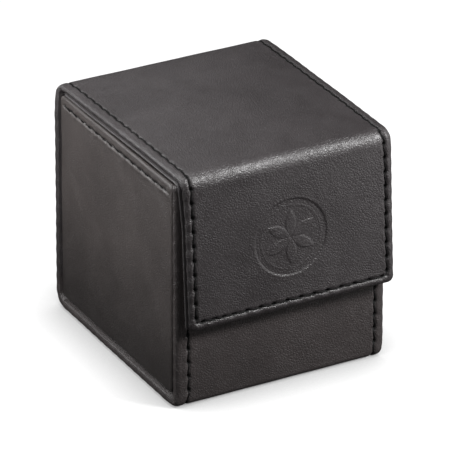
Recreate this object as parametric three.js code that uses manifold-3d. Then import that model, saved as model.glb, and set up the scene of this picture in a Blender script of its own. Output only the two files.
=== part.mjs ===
// A small leather-covered keepsake box: five leather-wrapped walls, a wrap-over lid on a living hinge
// and a front flap on a second living hinge, held shut by two hidden magnets.
// Millimetres, +Z up, front towards -Y, +X to the right. The origin is the middle of the base's underside.
import * as THREE from 'three';
import { mergeVertices } from 'three/addons/utils/BufferGeometryUtils.js';
import Module from 'manifold-3d';

const wasm = await Module();
wasm.setup();

// ---- driving dimensions ----
const bodyHalfWidth = 39.6;
const bodyHalfDepth = 42.25;
const totalHeight = 83.1;
const rearBendRadius = 5;
const frontBendRadius = 5;
const baseRearRadius = 6;
const baseFrontRadius = 2;

// The strap of leather sits a little to the right of the body, more so at the lid than at the front.
const frontLeft = -38.4;
const frontRight = 39.6;
const lidLeft = -37.1;
const lidRight = 40.4;

// The flap's outer plane leans outwards as it goes down to its free edge.
const flapTopY = -43.2;
const flapTopZ = 78;
const flapBottomZ = 29.3;
const flapLean = THREE.MathUtils.degToRad(4.33);
const flapCornerRadius = 2;

// Walls, counted inwards from the outer face of the strap.
const leather = 1.1;
const edgeRoll = 1;
const glue = 0.1;
const wallThickness = 3.3;
const baseThickness = 3.8;
const lidThickness = 3;
const flapThickness = 2.4;
const liningThickness = 0.5;
const board = 2;
const lidBoardThickness = 1.2;
const flapLeather = 1;
const flapBoardThickness = 0.8;
const flapLiningThickness = 0.4;
const wallTopZ = 79.2;
const baseFrontEdgeZ = 4;
const pieceGap = 0.3;

// The front wall's leather is padded low down and thins towards the top, to make room for the flap.
const frontInnerY = -39.8;
const frontPaddedTopZ = 40;
const frontTopY = -40.5;
const frontBoardThickness = 1.4;

// Side panels, let in between the strap's edges.
const panelFaceX = 38.9;
const panelLeather = 1.2;
const panelBevel = 0.4;
const foam = 1;
const panelBottomZ = 4.2;
const panelTopZ = 79.5;
const panelFrontY = -39.5;
const panelRearY = 38.6;
const panelCornerRadius = 2.2;

// Seams: a thread of flat section lying in a shallow groove.
const threadWidth = 0.7;
const grooveWidth = 1;
const threadDepth = 0.25;
const grooveDepth = 0.35;
const threadSink = 0.03;
const frontSeamInset = 3.8;
const lidSeamInset = 3.3;
const flapSeamInset = 2.9;
const bodySeamInset = 3.6;
const panelSeamZ = 76.4;
const panelSeamEnd = 2;

// Closure and mark.
const magnetRadius = 5;
const magnetSegments = 32;
const magnetHeightZ = 36;
const magnetOffsetX = 22;
const keeperSize = 12;
const keeperThickness = 0.8;
const markX = 1.9;
const markZ = 54.2;
const markRadius = 13.6;
const markSegments = 48;
const markDepth = 0.25;

const arcStep = THREE.MathUtils.degToRad(9);
const bendHalfAngle = THREE.MathUtils.degToRad(45);

// ---- outlines in the Y-Z plane ----
// A path is a list of { y, z, r } corners. Its inner side is on the left as it is walked.

function direction(a, b) {
  return new THREE.Vector2(b.y - a.y, b.z - a.z).normalize();
}

function leftOf(d) {
  return new THREE.Vector2(-d.y, d.x);
}

// The path moved inwards by a distance, with each round corner's radius reduced by it.
function offsetCorners(path, distance) {
  return path.map((corner, i) => {
    const before = i > 0 ? direction(path[i - 1], corner) : direction(corner, path[i + 1]);
    const after = i < path.length - 1 ? direction(corner, path[i + 1]) : before;
    const normal = leftOf(before).add(leftOf(after)).normalize();
    const reach = distance / normal.dot(leftOf(before));
    return {
      y: corner.y + normal.x * reach,
      z: corner.z + normal.y * reach,
      r: Math.max((corner.r ?? 0) - distance, 0),
    };
  });
}

// The points of one corner: a fillet arc, or the corner itself where it has no radius.
function cornerPoints(before, corner, after) {
  const vertex = new THREE.Vector2(corner.y, corner.z);
  if (!before || !after || corner.r <= 0) return [vertex];
  const inward = direction(before, corner);
  const outward = direction(corner, after);
  const turn = Math.acos(THREE.MathUtils.clamp(inward.dot(outward), -1, 1));
  const start = vertex.clone().addScaledVector(inward, -corner.r * Math.tan(turn / 2));
  const centre = start.clone().addScaledVector(leftOf(inward), corner.r);
  const steps = Math.max(2, Math.ceil(turn / arcStep));
  const points = [];
  for (let i = 0; i <= steps; i++) {
    points.push(start.clone().rotateAround(centre, (turn * i) / steps));
  }
  return points;
}

function pathPoints(path, distance) {
  const corners = offsetCorners(path, distance);
  return corners.flatMap((corner, i) => cornerPoints(corners[i - 1], corner, corners[i + 1]));
}

// ---- solids ----

// A closed Y-Z outline extruded along X.
function extrudeX(points, x0, x1) {
  const shape = new THREE.Shape(points);
  const geometry = new THREE.ExtrudeGeometry(shape, { depth: x1 - x0, bevelEnabled: false });
  geometry.applyMatrix4(new THREE.Matrix4().set(0, 0, 1, x0, 1, 0, 0, 0, 0, 1, 0, 0, 0, 0, 0, 1));
  return geometry;
}

// A layer of the strap between two depths under its outer face.
function band(path, depth0, depth1, x0, x1) {
  const outer = pathPoints(path, depth0);
  const inner = pathPoints(path, depth1).reverse();
  return extrudeX([...outer, ...inner], x0, x1);
}

function block(x0, x1, y0, y1, z0, z1) {
  const geometry = new THREE.BoxGeometry(x1 - x0, y1 - y0, z1 - z0);
  return geometry.translate((x0 + x1) / 2, (y0 + y1) / 2, (z0 + z1) / 2);
}

function toSolid(geometry) {
  const bare = geometry.clone();
  bare.deleteAttribute('normal');
  bare.deleteAttribute('uv');
  const merged = mergeVertices(bare, 1e-4);
  const vertProperties = new Float32Array(merged.attributes.position.array);
  const triVerts = new Uint32Array(merged.index.array);
  return new wasm.Manifold(new wasm.Mesh({ numProp: 3, vertProperties, triVerts }));
}

function toGeometry(solid) {
  const mesh = solid.getMesh();
  const geometry = new THREE.BufferGeometry();
  geometry.setAttribute('position', new THREE.BufferAttribute(new Float32Array(mesh.vertProperties), 3));
  geometry.setIndex(new THREE.BufferAttribute(new Uint32Array(mesh.triVerts), 1));
  geometry.computeVertexNormals();
  return geometry;
}

function joined(...geometries) {
  return toGeometry(geometries.map(toSolid).reduce((whole, piece) => whole.add(piece)));
}

function cut(geometry, ...tools) {
  return toGeometry(tools.map(toSolid).reduce((whole, tool) => whole.subtract(tool), toSolid(geometry)));
}

function kept(geometry, tool) {
  return toGeometry(toSolid(geometry).intersect(toSolid(tool)));
}

// Strap leather over a board: a flat skin with its long edges rolled round the board's sides.
function wrappedLeather(path, skin, rolled, x0, x1) {
  return joined(
    band(path, 0, skin, x0, x1),
    band(path, 0, rolled, x0, x0 + edgeRoll),
    band(path, 0, rolled, x1 - edgeRoll, x1),
  );
}

function seamThread(path, x) {
  return band(path, threadSink, threadSink + threadDepth, x - threadWidth / 2, x + threadWidth / 2);
}

function seamGroove(path, x) {
  return band(path, -grooveDepth, grooveDepth, x - grooveWidth / 2, x + grooveWidth / 2);
}

// ---- the strap's paths ----

const rearBendCentre = { y: bodyHalfDepth - rearBendRadius, z: totalHeight - rearBendRadius };
const flapDown = new THREE.Vector2(-Math.sin(flapLean), -Math.cos(flapLean));
const flapIn = leftOf(flapDown);

// A point on the flap's outer plane at a height.
function flapPoint(z) {
  const reach = (flapTopZ - z) / Math.cos(flapLean);
  return { y: flapTopY + flapDown.x * reach, z, r: 0 };
}

const frontBendCorner = { ...flapPoint(totalHeight), r: frontBendRadius };
const frontTurn = Math.PI / 2 - flapLean;

// The point on a bend's outer face at an angle from straight up, positive towards the front.
function onBend(centre, radius, angle) {
  return { y: centre.y - radius * Math.sin(angle), z: centre.z + radius * Math.cos(angle), r: 0 };
}

// The corner that a half bend makes between its middle and a neighbouring plane.
function halfCorner(centre, radius, angle, halfTurn) {
  return { ...onBend(centre, radius / Math.cos(halfTurn / 2), angle), r: radius };
}

const frontBendCentre = {
  y: frontBendCorner.y + frontBendRadius * Math.tan(frontTurn / 2),
  z: totalHeight - frontBendRadius,
};
const splitAngle = pieceGap / 2 / rearBendRadius;
const rearHalf = bendHalfAngle - splitAngle;
const frontHalf = frontTurn / 2 - splitAngle;

const basePath = [
  { y: -bodyHalfDepth, z: baseFrontEdgeZ, r: 0 },
  { y: -bodyHalfDepth, z: 0, r: baseFrontRadius },
  { y: bodyHalfDepth, z: 0, r: baseRearRadius },
  { y: bodyHalfDepth, z: baseRearRadius + pieceGap, r: 0 },
];
const backPath = [
  { y: bodyHalfDepth, z: baseRearRadius + 2 * pieceGap, r: 0 },
  halfCorner(rearBendCentre, rearBendRadius, rearHalf / 2 - Math.PI / 2, rearHalf),
  onBend(rearBendCentre, rearBendRadius, rearHalf - Math.PI / 2),
];
const lidPath = [
  onBend(rearBendCentre, rearBendRadius, -rearHalf),
  halfCorner(rearBendCentre, rearBendRadius, -rearHalf / 2, rearHalf),
  halfCorner(frontBendCentre, frontBendRadius, frontHalf / 2, frontHalf),
  onBend(frontBendCentre, frontBendRadius, frontHalf),
];
const flapPath = [
  onBend(frontBendCentre, frontBendRadius, frontTurn - frontHalf),
  halfCorner(frontBendCentre, frontBendRadius, frontTurn - frontHalf / 2, frontHalf),
  flapPoint(flapBottomZ),
];

// The hinge axes run along X through the middle of each bend's outer face.
export const lidHinge = onBend(rearBendCentre, rearBendRadius, -bendHalfAngle);
export const flapHinge = onBend(frontBendCentre, frontBendRadius, frontTurn / 2);

// ---- sub-parts ----

const model = new THREE.Group();

function addPart(name, geometry, color, roughness, metalness = 0) {
  const material = new THREE.MeshStandardMaterial({ color, roughness, metalness });
  const mesh = new THREE.Mesh(geometry, material);
  mesh.name = name;
  model.add(mesh);
}

const leatherColour = 0x3c3a3b;
const boardColour = 0x6e675d;
const liningColour = 0x2a2829;
const threadColour = 0x161516;
const steelColour = 0xa8a9ab;
const foamColour = 0x3a3a3a;

const addLeather = (name, geometry) => addPart(name, geometry, leatherColour, 0.5);
const addBoard = (name, geometry) => addPart(name, geometry, boardColour, 0.9);
const addLining = (name, geometry) => addPart(name, geometry, liningColour, 0.95);
const addThread = (name, geometry) => addPart(name, geometry, threadColour, 0.7);
const addSteel = (name, geometry) => addPart(name, geometry, steelColour, 0.35, 1);

const innerHalfWidth = panelFaceX - panelLeather - foam - board - liningThickness - 3 * glue;
const frontLiningY = frontInnerY + frontBoardThickness + 2 * glue;
const backBoardY = bodyHalfDepth - leather - glue;
const backLiningY = backBoardY - board - glue;
const floorBoardZ = leather + glue;
const floorLiningZ = floorBoardZ + board + glue;
const sideBoardX = innerHalfWidth + liningThickness + glue;

function addBase() {
  const seamX = bodyHalfWidth - bodySeamInset;
  const whole = wrappedLeather(basePath, leather, baseThickness, -bodyHalfWidth, bodyHalfWidth);
  addLeather('base_leather', cut(whole, seamGroove(basePath, -seamX), seamGroove(basePath, seamX)));
  addThread('base_left_seam_thread', seamThread(basePath, -seamX));
  addThread('base_right_seam_thread', seamThread(basePath, seamX));
  const boardX = bodyHalfWidth - edgeRoll - pieceGap;
  const boardY0 = -bodyHalfDepth + baseFrontRadius;
  const boardY1 = bodyHalfDepth - baseRearRadius;
  addBoard('bottom_board', block(-boardX, boardX, boardY0, boardY1, floorBoardZ, floorBoardZ + board));
  addLining(
    'floor_lining',
    block(
      -innerHalfWidth + 2 * glue,
      innerHalfWidth - 2 * glue,
      frontLiningY + liningThickness + glue,
      backLiningY - liningThickness - glue,
      floorLiningZ,
      floorLiningZ + liningThickness,
    ),
  );
}

function keeperBlock(x, margin) {
  const half = keeperSize / 2 + margin;
  return block(
    x - half,
    x + half,
    frontInnerY + glue - margin,
    frontInnerY + glue + keeperThickness + margin,
    magnetHeightZ - half,
    magnetHeightZ + half,
  );
}

function addFront() {
  const outline = [
    new THREE.Vector2(-bodyHalfDepth, baseFrontEdgeZ + pieceGap),
    new THREE.Vector2(frontInnerY, baseFrontEdgeZ + pieceGap),
    new THREE.Vector2(frontInnerY, wallTopZ),
    new THREE.Vector2(frontTopY, wallTopZ),
    new THREE.Vector2(-bodyHalfDepth, frontPaddedTopZ),
  ];
  const face = [
    { y: frontTopY, z: wallTopZ },
    { y: -bodyHalfDepth, z: frontPaddedTopZ },
    { y: -bodyHalfDepth, z: baseFrontEdgeZ + pieceGap },
  ];
  const leftX = frontLeft + frontSeamInset;
  const rightX = frontRight - frontSeamInset;
  const whole = extrudeX(outline, frontLeft, frontRight);
  addLeather('front_leather', cut(whole, seamGroove(face, leftX), seamGroove(face, rightX)));
  addThread('front_left_seam_thread', seamThread(face, leftX));
  addThread('front_right_seam_thread', seamThread(face, rightX));
  const boardY = frontInnerY + glue;
  const boardX = panelFaceX - panelLeather - pieceGap;
  const slab = block(
    -boardX,
    boardX,
    boardY,
    boardY + frontBoardThickness,
    floorLiningZ,
    wallTopZ,
  );
  const pockets = [-magnetOffsetX, magnetOffsetX].map((x) => keeperBlock(x, pieceGap));
  addBoard('front_board', cut(slab, ...pockets));
  addSteel('left_keeper_plate', keeperBlock(-magnetOffsetX, 0));
  addSteel('right_keeper_plate', keeperBlock(magnetOffsetX, 0));
  addLining(
    'front_lining',
    block(
      -innerHalfWidth + 2 * glue,
      innerHalfWidth - 2 * glue,
      frontLiningY,
      frontLiningY + liningThickness,
      floorLiningZ,
      wallTopZ,
    ),
  );
}

function addBack() {
  const seamX = bodyHalfWidth - bodySeamInset;
  const whole = wrappedLeather(backPath, leather, wallThickness, -bodyHalfWidth, bodyHalfWidth);
  addLeather('back_leather', cut(whole, seamGroove(backPath, -seamX), seamGroove(backPath, seamX)));
  addThread('back_left_seam_thread', seamThread(backPath, -seamX));
  addThread('back_right_seam_thread', seamThread(backPath, seamX));
  const boardX = bodyHalfWidth - edgeRoll - pieceGap;
  const boardTopZ = rearBendCentre.z;
  addBoard('back_board', block(-boardX, boardX, backBoardY - board, backBoardY, baseRearRadius, boardTopZ));
  addLining(
    'back_lining',
    block(
      -innerHalfWidth + 2 * glue,
      innerHalfWidth - 2 * glue,
      backLiningY - liningThickness,
      backLiningY,
      floorLiningZ,
      wallTopZ,
    ),
  );
}

// The panel's outline, set in from its edges by the bevel that rounds its face.
function panelShape(inset) {
  const shape = new THREE.Shape();
  const y0 = panelFrontY + inset;
  const y1 = panelRearY - inset;
  const z0 = panelBottomZ + inset;
  const z1 = panelTopZ - inset;
  const r = panelCornerRadius;
  shape.moveTo(y0, z0);
  shape.lineTo(y1 - r, z0);
  shape.absarc(y1 - r, z0 + r, r, -Math.PI / 2, 0);
  shape.absarc(y1 - r, z1 - r, r, 0, Math.PI / 2);
  shape.lineTo(y0, z1);
  return shape;
}

function panelGeometry(side) {
  const geometry = new THREE.ExtrudeGeometry(panelShape(panelBevel), {
    depth: panelLeather - 2 * panelBevel,
    bevelEnabled: true,
    bevelThickness: panelBevel,
    bevelSize: panelBevel,
    bevelSegments: 2,
    curveSegments: 5,
  });
  const middleX = side * (panelFaceX - panelLeather + panelBevel);
  const turned = new THREE.Matrix4().set(0, 0, 1, 0, 1, 0, 0, 0, 0, 1, 0, 0, 0, 0, 0, 1);
  geometry.applyMatrix4(turned);
  geometry.translate(side > 0 ? middleX : middleX - panelLeather + 2 * panelBevel, 0, 0);
  return geometry;
}

function seamBlock(side, width, depth0, depth1, y0, y1) {
  const xs = [side * (panelFaceX - depth0), side * (panelFaceX - depth1)];
  return block(Math.min(...xs), Math.max(...xs), y0, y1, panelSeamZ - width / 2, panelSeamZ + width / 2);
}

function addSide(name, side) {
  const y0 = panelFrontY + panelSeamEnd;
  const y1 = panelRearY - panelSeamEnd;
  const margin = (grooveWidth - threadWidth) / 2;
  const groove = seamBlock(side, grooveWidth, -grooveDepth, grooveDepth, y0 - margin, y1 + margin);
  addLeather(`${name}_panel_leather`, cut(panelGeometry(side), groove));
  const thread = seamBlock(side, threadWidth, threadSink, threadSink + threadDepth, y0, y1);
  addThread(`${name}_panel_seam_thread`, thread);
  const foamX = panelFaceX - panelLeather - glue;
  const inside = (outerX, thickness) => (side > 0 ? [outerX - thickness, outerX] : [-outerX, thickness - outerX]);
  const padEdge = 2;
  const boardY0 = frontInnerY + frontBoardThickness + 2 * glue;
  const boardY1 = backBoardY - board - glue;
  addPart(
    `${name}_panel_foam`,
    block(
      ...inside(foamX, foam),
      boardY0 + padEdge,
      panelRearY - padEdge,
      panelBottomZ + padEdge,
      panelTopZ - padEdge,
    ),
    foamColour,
    1,
  );
  addBoard(
    `${name}_board`,
    block(...inside(foamX - foam - glue, board), boardY0, boardY1, floorLiningZ, wallTopZ),
  );
  addLining(
    `${name}_lining`,
    block(...inside(sideBoardX - glue, liningThickness), boardY0, boardY1, floorLiningZ, wallTopZ),
  );
}

function addLid() {
  const leftX = lidLeft + lidSeamInset;
  const rightX = lidRight - lidSeamInset;
  const whole = wrappedLeather(lidPath, leather, lidThickness, lidLeft, lidRight);
  addLeather('lid_leather', cut(whole, seamGroove(lidPath, leftX), seamGroove(lidPath, rightX)));
  addThread('lid_left_seam_thread', seamThread(lidPath, leftX));
  addThread('lid_right_seam_thread', seamThread(lidPath, rightX));
  const x0 = lidLeft + edgeRoll + glue;
  const x1 = lidRight - edgeRoll - glue;
  const y0 = frontBendCentre.y + edgeRoll;
  const y1 = rearBendCentre.y - edgeRoll;
  const boardTop = totalHeight - leather - glue;
  const liningTop = boardTop - lidBoardThickness - glue;
  addBoard('lid_board', block(x0, x1, y0, y1, boardTop - lidBoardThickness, boardTop));
  addLining('lid_lining', block(x0, x1, y0, y1, liningTop - liningThickness, liningTop));
}

// A disc lying in the flap, between two depths under the flap's outer face.
function flapDisc(x, z, radius, depth0, depth1, segments) {
  const geometry = new THREE.CylinderGeometry(radius, radius, depth1 - depth0, segments);
  geometry.rotateX(-flapLean);
  const middle = (depth0 + depth1) / 2;
  const face = flapPoint(z);
  return geometry.translate(x, face.y + flapIn.x * middle, face.z + flapIn.y * middle);
}

// The flap's outline seen from the front, with its two lower corners rounded.
function flapOutline() {
  const shape = new THREE.Shape();
  const r = flapCornerRadius;
  shape.moveTo(lidLeft, totalHeight);
  shape.lineTo(lidLeft, flapBottomZ + r);
  shape.absarc(lidLeft + r, flapBottomZ + r, r, Math.PI, 1.5 * Math.PI);
  shape.absarc(lidRight - r, flapBottomZ + r, r, -Math.PI / 2, 0);
  shape.lineTo(lidRight, totalHeight);
  const geometry = new THREE.ExtrudeGeometry(shape, {
    depth: bodyHalfDepth,
    bevelEnabled: false,
    curveSegments: 4,
  });
  return geometry.rotateX(Math.PI / 2).translate(0, -bodyHalfDepth / 2, 0);
}

function flapSeam(depth0, depth1, width) {
  const bottomZ = flapBottomZ + flapSeamInset;
  const leftX = lidLeft + flapSeamInset;
  const rightX = lidRight - flapSeamInset;
  const half = width / 2;
  const legs = [...flapPath.slice(0, -1), flapPoint(bottomZ - half)];
  const foot = [flapPoint(bottomZ + half), flapPoint(bottomZ - half)];
  return joined(
    band(legs, depth0, depth1, leftX - half, leftX + half),
    band(legs, depth0, depth1, rightX - half, rightX + half),
    band(foot, depth0, depth1, leftX, rightX),
  );
}

function addFlap() {
  const lowerEdge = [flapPoint(flapBottomZ + edgeRoll), flapPoint(flapBottomZ)];
  const whole = joined(
    wrappedLeather(flapPath, flapLeather, flapThickness, lidLeft, lidRight),
    band(lowerEdge, 0, flapThickness, lidLeft, lidRight),
  );
  const mark = flapDisc(markX, markZ, markRadius, -markDepth, markDepth, markSegments);
  const seam = flapSeam(-grooveDepth, grooveDepth, grooveWidth);
  addLeather('flap_leather', cut(kept(whole, flapOutline()), mark, seam));
  addThread('flap_seam_thread', flapSeam(threadSink, threadSink + threadDepth, threadWidth));
  const x0 = lidLeft + edgeRoll + glue;
  const x1 = lidRight - edgeRoll - glue;
  const boardTopZ = frontBendCentre.z - frontBendRadius;
  const slab = [flapPoint(boardTopZ), flapPoint(flapBottomZ + edgeRoll + glue)];
  const boardDepth = flapLeather + glue;
  const boardInner = boardDepth + flapBoardThickness;
  const magnetDisc = (x, gap) =>
    flapDisc(x, magnetHeightZ, magnetRadius + gap, boardDepth - gap, boardInner + gap, magnetSegments);
  const holes = [-magnetOffsetX, magnetOffsetX].map((x) => magnetDisc(x, pieceGap));
  addBoard('flap_board', cut(band(slab, boardDepth, boardInner, x0, x1), ...holes));
  addSteel('left_magnet', magnetDisc(-magnetOffsetX, 0));
  addSteel('right_magnet', magnetDisc(magnetOffsetX, 0));
  const liningDepth = boardInner + glue;
  addLining('flap_lining', band(slab, liningDepth, liningDepth + flapLiningThickness, x0, x1));
}

addBase();
addFront();
addBack();
addSide('left', -1);
addSide('right', 1);
addLid();
addFlap();

export default model;
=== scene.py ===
"""A small leather-covered keepsake box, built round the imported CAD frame. Lengths are in millimetres."""
import math
import bmesh
import bpy
import numpy as np
from mathutils import Matrix, Vector


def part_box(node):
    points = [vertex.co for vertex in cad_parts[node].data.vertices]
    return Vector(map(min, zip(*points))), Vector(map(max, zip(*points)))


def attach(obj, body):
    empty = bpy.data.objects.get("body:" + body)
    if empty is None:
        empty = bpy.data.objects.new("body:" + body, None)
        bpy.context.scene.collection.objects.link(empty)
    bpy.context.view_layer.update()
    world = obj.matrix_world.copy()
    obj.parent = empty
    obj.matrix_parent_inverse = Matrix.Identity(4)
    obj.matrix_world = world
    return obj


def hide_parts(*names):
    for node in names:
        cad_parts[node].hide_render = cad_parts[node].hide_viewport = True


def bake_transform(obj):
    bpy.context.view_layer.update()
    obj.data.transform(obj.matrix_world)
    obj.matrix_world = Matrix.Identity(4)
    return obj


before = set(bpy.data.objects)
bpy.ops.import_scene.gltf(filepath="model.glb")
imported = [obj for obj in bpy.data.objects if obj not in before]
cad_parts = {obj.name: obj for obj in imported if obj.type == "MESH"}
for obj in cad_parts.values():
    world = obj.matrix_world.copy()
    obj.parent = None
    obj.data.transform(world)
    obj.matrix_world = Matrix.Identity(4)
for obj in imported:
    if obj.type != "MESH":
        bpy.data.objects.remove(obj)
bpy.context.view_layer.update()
MM = 0.001


def span(node):
    """Lowest and highest corner of a CAD node, in millimetres."""
    low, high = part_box(node)
    return np.array(low) / MM, np.array(high) / MM


# ---- sizes taken from the frame ----
LID_LOW, LID_HIGH = span("lid_leather")
PANEL_LOW, PANEL_HIGH = span("left_panel_leather")
SIDE_LINING_LOW, SIDE_LINING_HIGH = span("left_lining")
SIDE_BOARD_LOW, SIDE_BOARD_HIGH = span("left_board")
HALF_WIDTH, BACK_Y, _ = span("base_leather")[1]
TOP_Z = LID_HIGH[2]
WALL_TOP_Z = span("front_leather")[1][2]
_, FLAP_BOTTOM_Y, FLAP_BOTTOM_Z = span("flap_leather")[0]
FLOOR_Z = span("floor_lining")[1][2]
INSIDE_FRONT_Y = span("front_lining")[1][1]
INSIDE_BACK_Y = span("back_lining")[0][1]

# ---- shapes the CAD keeps plain ----
BEND_RADIUS = 5.0
BASE_REAR_RADIUS = 6.0
BASE_FRONT_RADIUS = 2.0
FRONT_TOP_Y = -40.7
FRONT_FOOT_Y = -42.4
FLAP_LEAN = math.radians(4.33)
LID_SAG = 0.45
LID_SAG_Y = -16.0
LID_SAG_RADIUS = 200.0
SPLIT_Z = 12.0
HINGE_LINER_Z = 70.0

# How far the leather and its board go in from the strap's outer face.
FRONT_DEPTH = 2.5
BASE_DEPTH = 3.25
BACK_DEPTH = 3.3
LID_DEPTH = 2.0
FLAP_DEPTH = 1.6

# ---- seams and the mark ----
STITCH = 5.0
THREAD_RADIUS = 0.36
HEM_INSET = 2.85
MARK_X = 1.9
MARK_Z = 54.2
MARK_RADIUS = 13.5


def direction(azimuth, elevation):
    """A unit vector away from the box. Azimuth 0 is in front and 90 at the right, in degrees."""
    a, e = math.radians(azimuth), math.radians(elevation)
    return Vector((math.sin(a) * math.cos(e), -math.cos(a) * math.cos(e), math.sin(e)))


# ---- camera ----
def make_camera():
    """The camera looks down on the front left corner from a long way off, with a long lens."""
    azimuth, elevation, roll = -29.05, 26.81, math.radians(0.43)
    distance, lens = 1425.9, 343.4
    aim_right, aim_down = 1.84, 2.48
    centre = Vector((0.4, 0.0, TOP_Z / 2))
    back = direction(azimuth, elevation)
    right = Vector((math.cos(math.radians(azimuth)), math.sin(math.radians(azimuth)), 0.0))
    up = back.cross(right)
    place = centre + back * distance
    aim = centre + right * aim_right - up * aim_down
    away = (place - aim).normalized()
    side = up.cross(away).normalized()
    over = away.cross(side)
    tilted_side = side * math.cos(roll) + over * math.sin(roll)
    tilted_over = over * math.cos(roll) - side * math.sin(roll)
    data = bpy.data.cameras.new("camera")
    data.sensor_width = 36.0
    data.lens = lens
    data.clip_start, data.clip_end = 0.1, 20.0
    camera = bpy.data.objects.new("camera", data)
    bpy.context.scene.collection.objects.link(camera)
    turn = Matrix((tilted_side, tilted_over, away)).transposed()
    camera.matrix_world = Matrix.Translation(place * MM) @ turn.to_4x4()
    bpy.context.scene.camera = camera


# ---- paths in the Y-Z plane, with their inside on the left ----
class Path:
    """Straight lines joined by round corners, each corner given as (y, z, radius)."""

    def __init__(self, corners, start=0.0):
        self.parts = []
        here = np.array(corners[0][:2], float)
        run = start
        for before, corner, after in zip(corners, corners[1:], corners[2:]):
            vertex = np.array(corner[:2], float)
            into = unit(vertex - np.array(before[:2]))
            out = unit(np.array(after[:2]) - vertex)
            turn = math.acos(np.clip(into @ out, -1, 1))
            radius = corner[2]
            sign = 1.0 if into[0] * out[1] - into[1] * out[0] > 0 else -1.0
            enter = vertex - into * radius * math.tan(turn / 2)
            run = self.add(run, here, into, np.linalg.norm(enter - here), 0.0)
            run = self.add(run, enter, into, radius * turn, sign / radius)
            here = vertex + out * radius * math.tan(turn / 2)
        end = np.array(corners[-1][:2], float)
        self.end = self.add(run, here, unit(end - here), np.linalg.norm(end - here), 0.0)

    def add(self, run, start, heading, length, curvature):
        self.parts.append((run, start, heading, curvature, length))
        return run + length

    def at(self, s):
        """Points and inward normals at distances s along the path."""
        s = np.asarray(s, float)
        point = np.zeros(s.shape + (2,))
        normal = np.zeros(s.shape + (2,))
        for i, (run, start, heading, curvature, _) in enumerate(self.parts):
            here = s >= run if i else np.ones(s.shape, bool)
            t = (s - run)[..., None]
            left = np.array((-heading[1], heading[0]))
            if curvature:
                angle = t * curvature
                spot = start + (heading * np.sin(angle) + left * (1 - np.cos(angle))) / curvature
                facing = left * np.cos(angle) - heading * np.sin(angle)
            else:
                spot = start + heading * t
                facing = np.broadcast_to(left, s.shape + (2,))
            point = np.where(here[..., None], spot, point)
            normal = np.where(here[..., None], facing, normal)
        return point, normal


def unit(v):
    return v / np.linalg.norm(v)


def smooth(low, high, value):
    """0 below low, 1 above high, and a smooth step between."""
    t = np.clip((value - low) / (high - low), 0, 1)
    return t * t * (3 - 2 * t)


def hill(value, middle, width):
    """1 at the middle, falling away on both sides over about the width."""
    return np.exp(-(((value - middle) / width) ** 2))


def spread(*stops):
    """Values from stop to stop, given as start, (stop, step), (stop, step), ..."""
    values = [stops[0]]
    for stop, step in stops[1:]:
        count = max(1, round(abs(stop - values[-1]) / step))
        values += list(np.linspace(values[-1], stop, count + 1)[1:])
    return np.array(values)


def rolled(width, count=7):
    """Distances from an edge that are close together where the surface turns over it."""
    return width * (1 - np.cos(np.linspace(0, math.pi / 2, count)))


# ---- shells ----
# A point pressed in this far starts to be the inside of a hole, and is wholly so this much deeper. The
# leather paints the insides of holes near-black, a painted shade.
HOLE_START = 0.32
HOLE_RANGE = 0.18
SHARP_ANGLE = math.radians(60)


def corner_rounded(u, v, left, right, top, bottom, radius):
    """Moves the grid's four corners onto arcs, and gives each point's distance from the outline."""
    outward = np.zeros(u.shape + (2,))
    du, dv = np.minimum(u - left, right - u), np.minimum(v - top, bottom - v)
    sign_u = np.where(u - left < right - u, -1.0, 1.0)
    sign_v = np.where(v - top < bottom - v, -1.0, 1.0)
    a, b = np.clip(1 - du / radius, 0, None), np.clip(1 - dv / radius, 0, None)
    reach, long = np.maximum(a, b), np.hypot(a, b)
    long = np.where(long > 0, long, 1)
    inside = (a > 0) & (b > 0)
    shrink = np.where(inside, reach / long, 1.0)
    new_du = np.where(inside, radius * (1 - a * shrink), du)
    new_dv = np.where(inside, radius * (1 - b * shrink), dv)
    edge = np.where(inside, radius * (1 - reach), np.minimum(du, dv))
    nearest_u = du <= dv
    outward[..., 0] = np.where(inside, sign_u * a / long, sign_u * nearest_u)
    outward[..., 1] = np.where(inside, sign_v * b / long, sign_v * ~nearest_u)
    return u + sign_u * (du - new_du), v + sign_v * (dv - new_dv), edge, outward


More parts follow.
